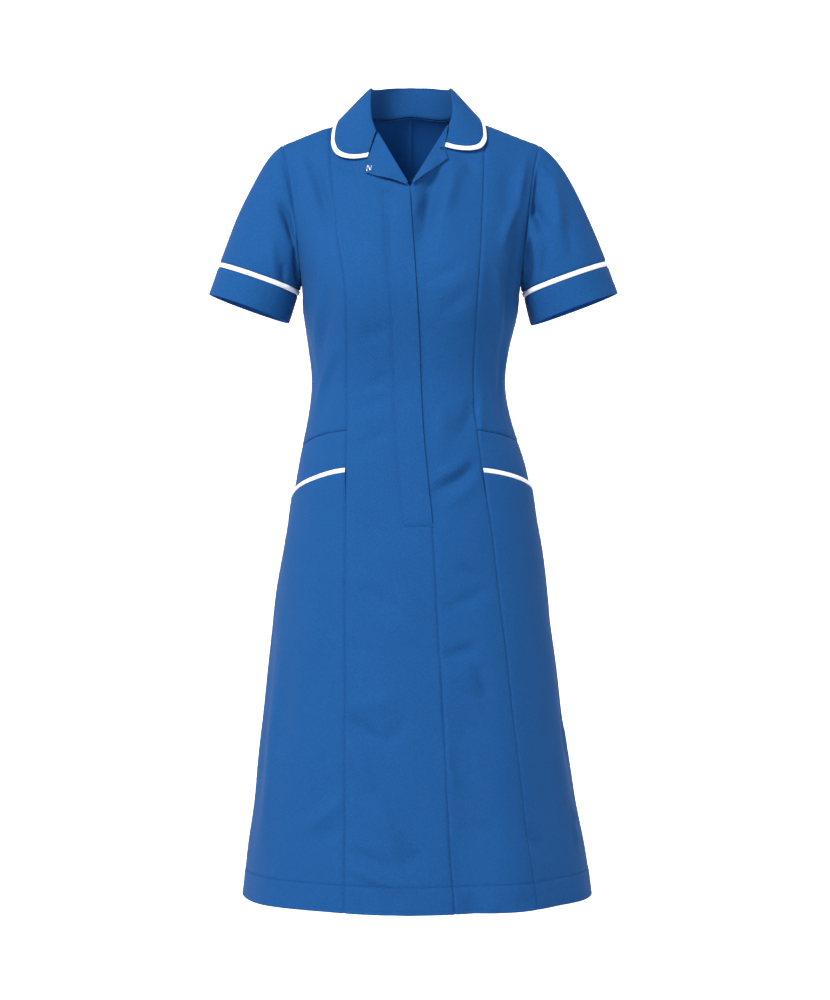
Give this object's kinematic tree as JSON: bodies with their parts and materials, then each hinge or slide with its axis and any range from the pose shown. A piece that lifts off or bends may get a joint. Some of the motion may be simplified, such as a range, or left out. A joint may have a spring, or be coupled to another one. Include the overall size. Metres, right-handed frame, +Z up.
{
  "type": "nurse uniform dress",
  "caption": "Short-sleeved princess-line nurse's dress in blue poly-cotton with white piping, filled out with no wearer and open at neck, cuffs and hem.",
  "frame": {"origin": "between the side neck points of the shoulder seams, where the wearer's shoulders carry the dress", "axes": "+Z up, +X towards the wearer's left, -Y out of the front"},
  "size_m": [0.5475, 0.3627, 1.0869],
  "materials": {
    "cloth": "smooth woven poly-cotton twill",
    "piping": "white woven poly-cotton binding",
    "wire": "nickel plated wire"
  },
  "bodies": {
    "root": {"front_right": "cloth", "front_left": "cloth", "fly_placket": "cloth", "lapel_right": "cloth", "lapel_left": "cloth", "side_front_upper_right": "cloth", "side_front_upper_left": "cloth", "pocket_back_right": "cloth", "pocket_back_left": "cloth", "side_front_lower_right": "cloth", "side_front_lower_left": "cloth", "pocket_trim_right": "piping", "pocket_trim_left": "piping", "back_right": "cloth", "back_left": "cloth", "sleeve_right": "cloth", "sleeve_left": "cloth", "sleeve_trim_right": "piping", "sleeve_trim_left": "piping", "cuff_right": "cloth", "cuff_left": "cloth", "collar": "cloth", "collar_trim": "piping", "collar_hook": "wire", "collar_eye": "wire"}
  },
  "joints": []
}
